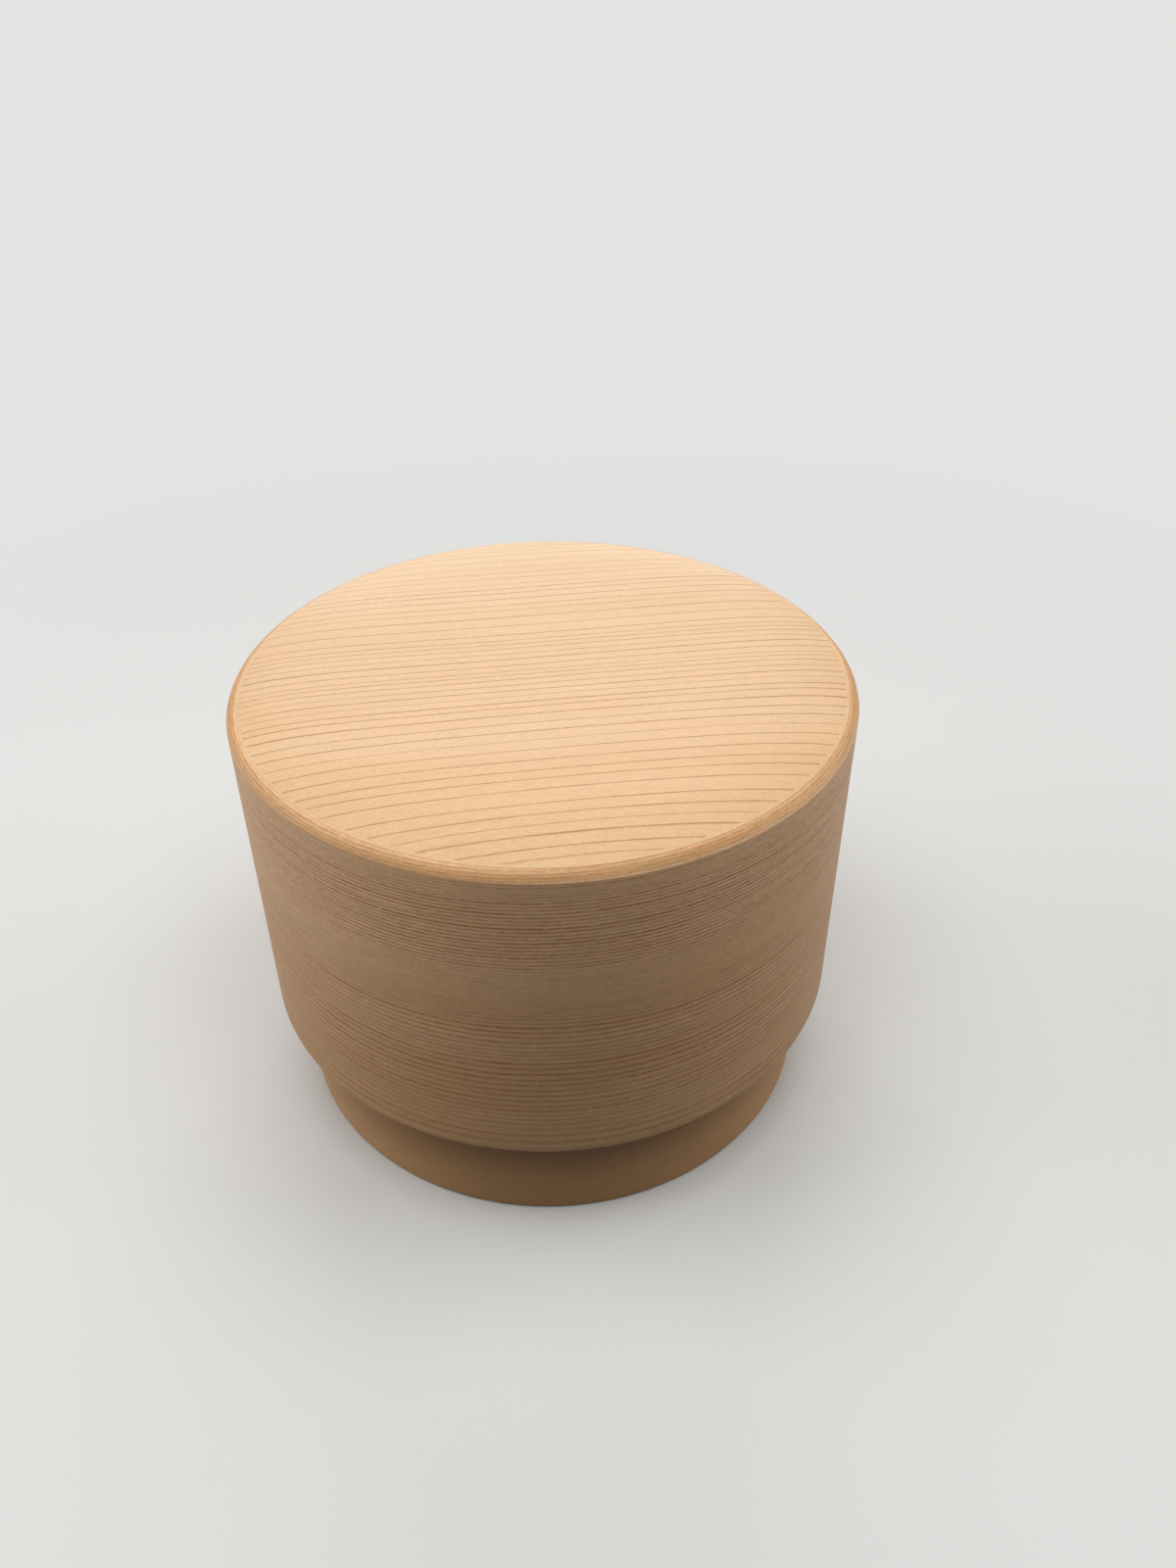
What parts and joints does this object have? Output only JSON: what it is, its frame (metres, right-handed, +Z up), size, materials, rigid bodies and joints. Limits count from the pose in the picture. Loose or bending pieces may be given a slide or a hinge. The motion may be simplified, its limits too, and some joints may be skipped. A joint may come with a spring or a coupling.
{
  "type": "round bentwood lunch box",
  "caption": "Round bentwood lunch box of pale cedar with a deep crowned lid that slips down over a narrower body and lifts straight off.",
  "frame": {"origin": "centre of the foot ring, on the surface that the box stands on", "axes": "+Z up along the axis of the hoops, the way the lid lifts off; +Y towards the back, where the laps of the hoops and their bark lacing are; +X to the right seen from the front"},
  "size_m": [0.136, 0.1362, 0.1056],
  "materials": {
    "bent_cedar": "planed and sanded bare cedar, satin, with fine growth rings running round the hoop",
    "cedar_board": "sanded bare straight-grained cedar, satin",
    "cherry_bark": "scraped cherry bark, dark red-brown, soft sheen"
  },
  "bodies": {
    "base": {"body_hoop": "bent_cedar", "bottom_board": "cedar_board", "body_bark_lace": "cherry_bark"},
    "lid": {"lid_hoop": "bent_cedar", "top_board": "cedar_board", "lid_bark_lace": "cherry_bark"}
  },
  "joints": [
    {"name": "lid_lift", "type": "slide", "parent": "base", "child": "lid", "axis": [0, 0, 1], "range_m": [0, 0.09]}
  ]
}
